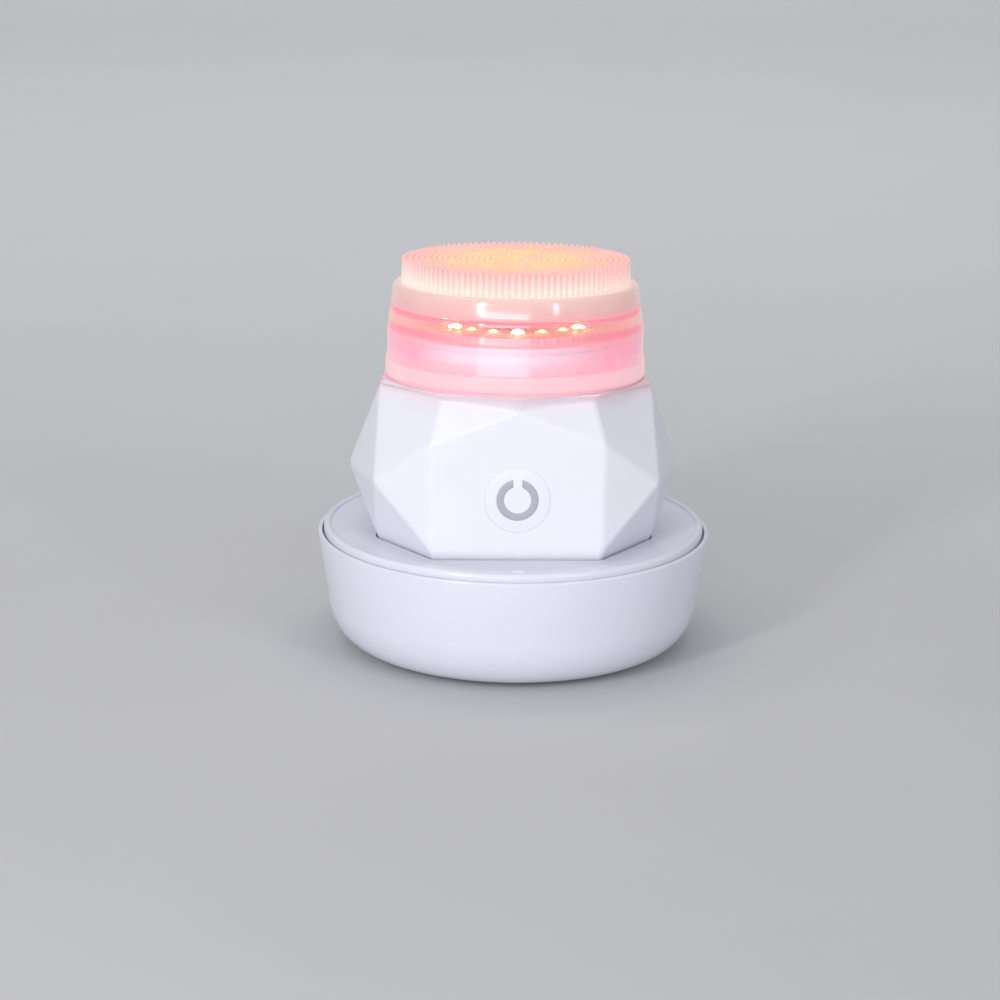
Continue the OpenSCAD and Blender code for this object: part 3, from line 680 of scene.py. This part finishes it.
def cradle_block(grow):
    """The cradle's leaning space, or with grow the outside of its wall; corners are rounded."""
    gap = CRADLE_GAP + grow
    above = 2
    floor_z = HEEL_Z - 0.3 - grow
    levels = [(floor_z, HEEL_SCALE), (LOWER_Z + above, 1 + above / 78)]
    bm = bmesh.new()
    rows = []
    for z, k in levels:
        rows.append([bm.verts.new(at(a, LOWER_R * k + gap, z) * MM) for a in LOWER_AZ])
    count = len(LOWER_AZ)
    bm.faces.new(rows[0])
    bm.faces.new(rows[1][::-1])
    for i in range(count):
        j = (i + 1) % count
        bm.faces.new((rows[0][i], rows[0][j], rows[1][j], rows[1][i]))
    bm.edges.ensure_lookup_table()
    uprights = [e for e in bm.edges if abs(e.verts[0].co.z - e.verts[1].co.z) > MM]
    bmesh.ops.recalc_face_normals(bm, faces=bm.faces)
    bmesh.ops.bevel(bm, geom=uprights, offset=1.6 * MM, segments=5, profile=0.5, affect="EDGES")
    block = from_bmesh("cradle_block", bm)
    block.data.transform(LEAN)
    return block


# ---------- Handset body ----------


def body_corners(inner=False):
    """Corner points of the body, or of its cavity."""
    shoulder = Vector((SHOULDER[0], front_y(SHOULDER[1]), SHOULDER[1]))
    belt_1 = at(BELT_AZ[0], BELT_R, BELT_Z)
    upper_2 = at(LOWER_AZ[1], UPPER_R, UPPER_Z)
    normal = (belt_1 - upper_2).cross(shoulder - upper_2)
    toward = at(LOWER_AZ[0], 1, 0)
    upper_1_r = (normal.dot(upper_2) - normal.z * UPPER_Z) / normal.dot(toward)
    last = len(LOWER_AZ) - 1
    points = [at(a, LOWER_R * HEEL_SCALE, HEEL_Z) for a in LOWER_AZ]
    points += [at(a, LOWER_R, LOWER_Z) for a in LOWER_AZ]
    points += [at(a, BELT_R, BELT_Z) for a in BELT_AZ]
    points += [at(a, upper_1_r if i in (0, last) else UPPER_R, UPPER_Z) for i, a in enumerate(LOWER_AZ)]
    points += [shoulder, Vector((-shoulder.x, shoulder.y, shoulder.z))]
    points += [Vector((0, front_y(APEX_Z), APEX_Z)), Vector((0, -BROW_D, UPPER_Z))]
    if not inner:
        return points
    count = len(LOWER_AZ)
    drawn = []
    for i, p in enumerate(points):
        if i < count:
            q = points[i + count] * CAVITY_SCALE * 0.8
            drawn.append(Vector((q.x, q.y, HEEL_Z + BASE_H)))
        else:
            drawn.append(Vector((p.x * CAVITY_SCALE, p.y * CAVITY_SCALE, LOWER_Z + (p.z - LOWER_Z) * 0.97)))
    return drawn


def body_faces():
    """Faces of the body without its top."""
    n, sides = len(LOWER_AZ), len(BELT_AZ)
    low, belt, up = n, 2 * n, 2 * n + sides
    right, left, apex, brow = up + n, up + n + 1, up + n + 2, up + n + 3
    faces = [list(range(n))]
    faces += [(i, (i + 1) % n, low + (i + 1) % n, low + i) for i in range(n)]
    faces += [(low + i, low + i + 1, belt + i) for i in range(sides)]
    faces += [(low + i + 1, belt + i + 1, belt + i) for i in range(sides - 1)]
    faces += [(up + i + 1, belt + i, belt + i + 1) for i in range(sides - 1)]
    faces += [(up + i, belt + i, up + i + 1) for i in range(1, sides - 1)]
    faces += [(up, right, belt, up + 1), (up + sides - 1, belt + sides - 1, left, up + sides)]
    faces += [(apex, left, low + sides, low, right)]
    faces += [(right, low, belt), (left, belt + sides - 1, low + sides)]
    faces += [(apex, right, up), (apex, up, brow), (apex, up + sides, left), (apex, brow, up + sides)]
    return faces


def build_body(materials):
    """The faceted shell with soft edges, its cavity and the holes for the base, neck and button."""
    points = body_corners()
    faces = body_faces()
    n = len(LOWER_AZ)
    up, brow = 2 * n + len(BELT_AZ), len(points) - 1
    ring = [brow] + [up + i for i in range(n)]
    top = []
    for i in ring:
        p = points[i]
        r = math.hypot(p.x, p.y)
        target = SHELL_TOP_BROW_D if i == brow else SHELL_TOP_R
        top.append(Vector((p.x * target / r, p.y * target / r, SHELL_TOP_Z)))
    first = len(points)
    points += top
    count = len(ring)
    faces += [(ring[i], ring[(i + 1) % count], first + (i + 1) % count, first + i) for i in range(count)]
    faces += [[first + i for i in range(count)]]
    shell = make_object("body_shell_faceted", points, faces)
    bm = bmesh.new()
    bm.from_mesh(shell.data)
    bmesh.ops.dissolve_limit(bm, angle_limit=math.radians(0.5), verts=bm.verts, edges=bm.edges)
    sharp = [e for e in bm.edges if e.calc_face_angle(0) > math.radians(2)]
    bmesh.ops.bevel(bm, geom=sharp, offset=BODY_BEVEL * MM, segments=5, profile=0.5, affect="EDGES",
                    clamp_overlap=True)
    bm.to_mesh(shell.data)
    bm.free()

    cavity = make_object("cavity", body_corners(inner=True),
                         body_faces() + [[brow] + [up + i for i in range(n - 1, -1, -1)]])
    recess = heel_block(0.93 * HEEL_SCALE, HEEL_Z - 1, HEEL_Z + BASE_H + 0.01)
    opening = cylinder_cutter(NECK_HOLE_R, 55, 70)
    button = cylinder_cutter(BUTTON_R + 0.03, -6, 0.2)
    button.data.transform(on_front())
    cut(shell, cavity, recess, opening, button)
    shade(shell, 35)
    weighted = shell.modifiers.new("weighted", "WEIGHTED_NORMAL")
    weighted.keep_sharp = True
    weighted.weight = 80
    adopt(shell, "handset", materials["body_white"].material, "body_white", "body_shell")


def heel_block(k, z0, z1):
    """A straight block of the lower ring's outline, for cutting."""
    n = len(LOWER_AZ)
    points = [at(a, LOWER_R * k, z) for z in (z0, z1) for a in LOWER_AZ]
    faces = [list(range(n)), list(range(2 * n - 1, n - 1, -1))]
    faces += [(i, (i + 1) % n, n + (i + 1) % n, n + i) for i in range(n)]
    return make_object("cutter", points, faces)


def build_button(materials):
    """Button face with a soft edge and a shallow groove for the inlaid ring."""
    depth = span("power_button")[1].y - FRONT_Y
    lip_r, lip_z, lip_t, stem_r = BUTTON_R + 1, -2.42, 0.8, 2
    profile = [(0, 0)] + arc(BUTTON_R - 0.05, -0.05, 0.05, 90, 0, 4)
    profile += [(BUTTON_R, lip_z), (lip_r, lip_z), (lip_r, lip_z - lip_t), (stem_r, lip_z - lip_t),
                (stem_r, -depth + 0.1), (0, -depth + 0.1)]
    button = lathe("power_button_cap", profile, 128)
    ring_cut = broken_ring("cutter", RING_R - RING_BAND, RING_R, -0.3, 0.5)
    cut(button, ring_cut)
    button.data.transform(on_front())
    adopt(shade(button, 30), "power_button", materials["body_white"].material, "body_white", "power_button")
    ring = broken_ring("button_ring_inlay", RING_R - RING_BAND + 0.03, RING_R - 0.03, -0.3, 0.0, soften=0.08)
    ring.data.transform(on_front())
    adopt(shade(ring, 30), "power_button", materials["ring_grey"].material, "ring_grey", "button_ring")


def broken_ring(name, r0, r1, z0, z1, gap=2.0, soften=0.0, steps=72):
    """A flat ring that is open for gap mm at its top."""
    bm = bmesh.new()
    rows = []
    for i in range(steps + 1):
        row = []
        for r in (r0, r1):
            half = math.asin(gap / 2 / r)
            a = half + (2 * math.pi - 2 * half) * i / steps
            row.append((r * math.sin(a), r * math.cos(a)))
        rows.append(row)
    quads = []
    for (x0, y0), (x1, y1) in rows:
        quads.append([bm.verts.new(Vector(p) * MM) for p in
                      ((x0, y0, z0), (x1, y1, z0), (x1, y1, z1), (x0, y0, z1))])
    for a, b in zip(quads, quads[1:]):
        for k in range(4):
            bm.faces.new((a[k], b[k], b[(k + 1) % 4], a[(k + 1) % 4]))
    bm.faces.new(quads[0])
    bm.faces.new(quads[-1][::-1])
    bmesh.ops.recalc_face_normals(bm, faces=bm.faces)
    if soften:
        rim = [e for e in bm.edges if e.calc_face_angle(0) > math.radians(60)
               and max(v.co.z for v in e.verts) > (z1 - 0.01) * MM]
        bmesh.ops.bevel(bm, geom=rim, offset=soften * MM, segments=3, profile=0.5, affect="EDGES")
    return from_bmesh(name, bm)


# ---------- Collar and neck ----------


def build_collar(materials):
    """The clear collar with its window plate, and the neck that carries the lamp deck."""
    top_r = PAD_R + 0.1
    bore_r = top_r - COLLAR_WALL
    profile = arc(COLLAR_R - 0.3, COLLAR_Z + 0.3, 0.3, -90, 0, 5)
    profile += arc(COLLAR_R - 0.42, COLLAR_Z + 3.6, 0.28, -10, 90, 5)
    profile += [(COLLAR_R - 0.45, COLLAR_Z + 4.0), (COLLAR_R - 0.5, COLLAR_Z + 10.4)]
    profile += [(top_r, COLLAR_TOP_Z - 0.35)]
    profile += arc(top_r - 0.3, COLLAR_TOP_Z - 0.3, 0.3, 0, 90, 5)[1:]
    profile += arc(bore_r + 0.2, COLLAR_TOP_Z - 0.2, 0.2, 90, 180, 4)
    profile += [(bore_r, WINDOW_Z + WINDOW_T), (6.5, WINDOW_Z + WINDOW_T), (6.5, WINDOW_Z)]
    profile += arc(bore_r - 1.2, WINDOW_Z - 1.2, 1.2, 90, 0, 6)
    profile += [(COLLAR_R - COLLAR_WALL, COLLAR_Z + 4), (COLLAR_R - COLLAR_WALL, COLLAR_Z)]
    collar = lathe("clear_collar", profile)
    adopt(shade(collar, 30), "handset", materials["clear_collar"].material, "clear_collar", "light_housing")

    floor_z = DECK_Z - DECK_T
    inner = [(NECK_R - 1.9, floor_z), (NECK_R - 1.9, SHELL_TOP_Z + 4.8), (19.65, SHELL_TOP_Z + 4),
             (19.65, SHELL_TOP_Z - 2.2), (20.3, SHELL_TOP_Z - 2.2), (20.3, SHELL_TOP_Z)]
    flange_r = COLLAR_R - COLLAR_WALL - 0.1
    profile = [(4, floor_z)] + inner
    profile += [(flange_r, SHELL_TOP_Z)] + arc(flange_r - 0.3, SHELL_TOP_Z + 0.6, 0.3, 0, 90, 4)
    profile += [(NECK_R, SHELL_TOP_Z + 0.9), (NECK_R, floor_z - 0.3), (NECK_R - 0.6, floor_z - 0.2),
                (NECK_R - 0.6, floor_z + 0.45)]
    profile += arc(DECK_R - 0.3, floor_z + 0.75, 0.3, -90, 0, 5)
    profile += arc(DECK_R - 0.5, DECK_Z - 0.5, 0.5, 0, 90, 5)
    profile += [(4, DECK_Z)]
    neck = lathe("neck_column", profile)
    adopt(shade(neck, 30), "handset", materials["neck_white"].material, "neck_white", "neck")


def chamfered_block(bm, place, size, soften):
    """Adds a block with softened edges; place is a matrix in metres and size is in mm."""
    made = bmesh.ops.create_cube(bm, size=1.0)["verts"]
    bmesh.ops.scale(bm, verts=made, vec=Vector(size) * MM)
    bmesh.ops.transform(bm, verts=made, matrix=place)
    edges = {e for v in made for e in v.link_edges}
    bmesh.ops.bevel(bm, geom=list(edges), offset=soften * MM, segments=2, profile=0.5, affect="EDGES")


def build_ribs(materials):
    """Three upright ribs inside the collar that key it to the neck."""
    bm = bmesh.new()
    low, high = COLLAR_Z + 1.2, COLLAR_Z + 6.8
    size = (RIB_W, RIB_R[1] - RIB_R[0], high - low)
    for i in range(RIB_COUNT):
        azimuth = RIB_AZ + i * 360 / RIB_COUNT
        centre = at(azimuth, (RIB_R[0] + RIB_R[1]) / 2, (low + high) / 2)
        turn = Matrix.Rotation(math.radians(azimuth), 4, "Z")
        chamfered_block(bm, Matrix.Translation(centre * MM) @ turn, size, 0.2)
    ribs = from_bmesh("collar_ribs", bm)
    adopt(shade(ribs, 40), "handset", materials["collar_rib"].material, "clear_collar")


def build_lamps(materials):
    """Ring of lamps: a case with a cup for each, and domed lenses; every third one is bright."""
    top = DECK_Z + LED_BOARD_T
    case_w, case_h = 2.8, 0.7
    cases = bmesh.new()
    for i in range(LED_COUNT):
        azimuth = 360 * i / LED_COUNT
        turn = Matrix.Rotation(math.radians(azimuth), 4, "Z")
        centre = at(azimuth, LED_RING, top + case_h / 2)
        chamfered_block(cases, Matrix.Translation(centre * MM) @ turn, (case_w, case_w, case_h), 0.12)
    case_piece = shade(from_bmesh("lamp_cases", cases), 40)
    adopt(case_piece, "handset", materials["lamp_case"].material, "lamp", "leds")
    kinds = ((True, "lamp_lenses_amber", "lamp", 1.35), (False, "lamp_lenses_red", "lamp_red", 0.9))
    for bright, name, material, lens_r in kinds:
        profile = [(0, top + 0.5), (lens_r + 0.2, top + 0.5), (lens_r + 0.2, top + 0.72)]
        profile += arc(0, top + 0.72, lens_r, 0, 90, 8, 0.5)[:-1] + [(0, top + 0.72 + lens_r / 2)]
        bm = bmesh.new()
        for i in range(LED_COUNT):
            if (i % 3 == 0) != bright:
                continue
            lens = lathe("lens", profile, 24)
            lens.data.transform(Matrix.Translation(at(360 * i / LED_COUNT, LED_RING, 0) * MM))
            bm.from_mesh(lens.data)
            mesh = lens.data
            bpy.data.objects.remove(lens)
            bpy.data.meshes.remove(mesh)
        adopt(shade(from_bmesh(name, bm), 40), "handset", materials[material].material, "lamp")


# ---------- Bristle pad ----------


def pad_base():
    """The pad's skirt, shoulder and field, with its hollow for the carrier."""
    hub_z, hub_r = SHOULDER_Z - 0.1, 5
    carrier_r, carrier_z = 27.1, PAD_Z + 1.6
    profile = [(carrier_r, PAD_Z), (PAD_R - 0.1, PAD_Z)]
    profile += arc(PAD_R - 0.15, PAD_Z + 0.15, 0.15, -60, 0, 3)
    profile += [(PAD_R - 0.1, PAD_Z + 1.2)]
    profile += arc(PAD_R - 1.7, SHOULDER_Z - 1.3, 1.3, 10, 90, 10)
    profile += [(BRISTLE_FIELD_R - 0.3, SHOULDER_Z), (0, SHOULDER_Z), (0, hub_z), (hub_r, hub_z),
                (hub_r, carrier_z), (carrier_r, carrier_z)]
    return lathe("bristle_pad_skirt", profile)


def bristle_rings():
    """Centres of the bristles, in rings from the rim to the middle."""
    centres = []
    r = BRISTLE_FIELD_R - BRISTLE_TIP_R - 0.05
    ring = 0
    while r > BRISTLE_PITCH * 0.6:
        count = round(2 * math.pi * r / BRISTLE_PITCH)
        for i in range(count):
            a = 2 * math.pi * (i + 0.5 * (ring % 2)) / count
            centres.append((r * math.sin(a), -r * math.cos(a), r))
        r -= BRISTLE_PITCH * 0.93
        ring += 1
    centres.append((0, 0, 0))
    return centres


def build_pad(materials):
    """Skirt and every bristle, each tapered with a round tip."""
    skirt = shade(pad_base(), 50)
    adopt(skirt, "brush_head", materials["skirt_silicone"].material, "bristle_silicone", "bristle_pad")
    bm = bmesh.new()
    sides = 12
    foot_r, tip_r = BRISTLE_FOOT_R, BRISTLE_TIP_R
    start = SHOULDER_Z - 0.1
    for x, y, r in bristle_rings():
        # The field is slightly dished, so its rim stands highest
        end = TOP_Z - 0.35 + 0.3 * (r / BRISTLE_FIELD_R) ** 2
        levels = [(foot_r + 0.25, start), (foot_r, start + 0.4), (tip_r, end - tip_r)]
        levels += [(tip_r * math.cos(a), end - tip_r + tip_r * math.sin(a))
                   for a in (math.radians(30), math.radians(60))]
        rows = []
        for lr, z in levels:
            rows.append([bm.verts.new(Vector((x + lr * math.cos(2 * math.pi * k / sides),
                                              y + lr * math.sin(2 * math.pi * k / sides), z)) * MM)
                         for k in range(sides)])
        crown = bm.verts.new(Vector((x, y, end)) * MM)
        for a, b in zip(rows, rows[1:]):
            for k in range(sides):
                j = (k + 1) % sides
                bm.faces.new((a[k], a[j], b[j], b[k]))
        for k in range(sides):
            bm.faces.new((rows[-1][k], rows[-1][(k + 1) % sides], crown))
        bm.faces.new(rows[0][::-1])
    bristles = from_bmesh("bristle_field", bm)
    adopt(shade(bristles, 50), "brush_head", materials["bristle_silicone"].material, "bristle_silicone")


# ---------- Studio ----------


def area_light(name, place, look_at, size, power, colour=(1, 1, 1), size_y=None):
    """A soft light that the camera doesn't see; it is square unless size_y is given."""
    data = bpy.data.lights.new(name, "AREA")
    data.energy = power
    data.color = colour
    data.shape = "RECTANGLE"
    data.size = size
    data.size_y = size_y or size
    light = bpy.data.objects.new(name, data)
    light.location = place
    light.visible_camera = False
    light.rotation_euler = (Vector(look_at) - Vector(place)).to_track_quat("-Z", "Y").to_euler()
    bpy.context.scene.collection.objects.link(light)


def build_studio():
    """Pale floor running up into a plain backdrop, and soft light."""
    front, depth, half_width, bend, height, steps = -4.0, 1.1, 3.0, 0.5, 2.4, 12
    points = [(front, 0.0), (depth, 0.0)]
    for i in range(1, steps + 1):
        a = math.radians(90 * i / steps)
        points.append((depth + bend * math.sin(a), bend - bend * math.cos(a)))
    points.append((depth + bend, height))
    verts = [(x * half_width / MM, y / MM, z / MM) for y, z in points for x in (-1, 1)]
    faces = [(2 * i, 2 * i + 1, 2 * i + 3, 2 * i + 2) for i in range(len(points) - 1)]
    floor = make_object("floor_sweep", verts, faces)
    n = Nodes("pale_floor")
    n.link(n.mix(n.noise(60, 2), (0.56, 0.56, 0.57), (0.58, 0.58, 0.59)), n.shader.inputs["Base Color"])
    n.set(Roughness=0.8, Specular_IOR_Level=0.2)
    floor.data.materials.append(n.material)
    for polygon in floor.data.polygons:
        polygon.use_smooth = True

    world = bpy.data.worlds.new("soft_studio")
    bpy.context.scene.world = world
    world.use_nodes = True
    background = world.node_tree.nodes["Background"]
    background.inputs["Color"].default_value = (0.93, 0.95, 1.0, 1)
    background.inputs["Strength"].default_value = 0.50

    target = (0, 0, 0.055)
    area_light("key_strip", (-0.32, -0.48, 0.27), target, 0.055, 1.05, (1.0, 0.99, 0.98), 0.26)
    area_light("fill_strip", (0.34, -0.48, 0.27), target, 0.05, 0.35, (0.96, 0.98, 1.0), 0.26)
    area_light("low_front", (-0.25, -1.15, 0.14), target, 1.0, 4.4, (0.98, 0.98, 1.0), 0.22)
    area_light("top", (-0.1, 0.0, 0.9), target, 0.8, 1.2)
    area_light("backdrop_wash", (0.0, 0.5, 1.3), (0.0, 1.6, 0.7), 1.2, 11.5)


def build_camera():
    """Looks 15.6 degrees down on the front from 0.72 m away, 2 degrees round to the left."""
    distance, height, azimuth = 0.718, 0.234, math.radians(2)
    pitch, off_centre, roll = math.radians(74.38), math.radians(0.25), math.radians(0.7)
    data = bpy.data.cameras.new("camera")
    data.sensor_width = 36
    data.lens = 116.4
    camera = bpy.data.objects.new("camera", data)
    camera.location = (-distance * math.sin(azimuth), -distance * math.cos(azimuth), height)
    aim = Matrix.Rotation(off_centre - azimuth, 4, "Z") @ Matrix.Rotation(pitch, 4, "X")
    camera.rotation_euler = (aim @ Matrix.Rotation(roll, 4, "Z")).to_euler()
    bpy.context.scene.collection.objects.link(camera)
    bpy.context.scene.camera = camera


# ---------- Scene ----------

build_camera()
MATERIALS = make_materials()
dress_frame(MATERIALS)
build_dock(MATERIALS)
build_body(MATERIALS)
build_button(MATERIALS)
build_collar(MATERIALS)
build_ribs(MATERIALS)
build_lamps(MATERIALS)
build_pad(MATERIALS)
build_studio()
bpy.context.scene.view_settings.view_transform = "Standard"
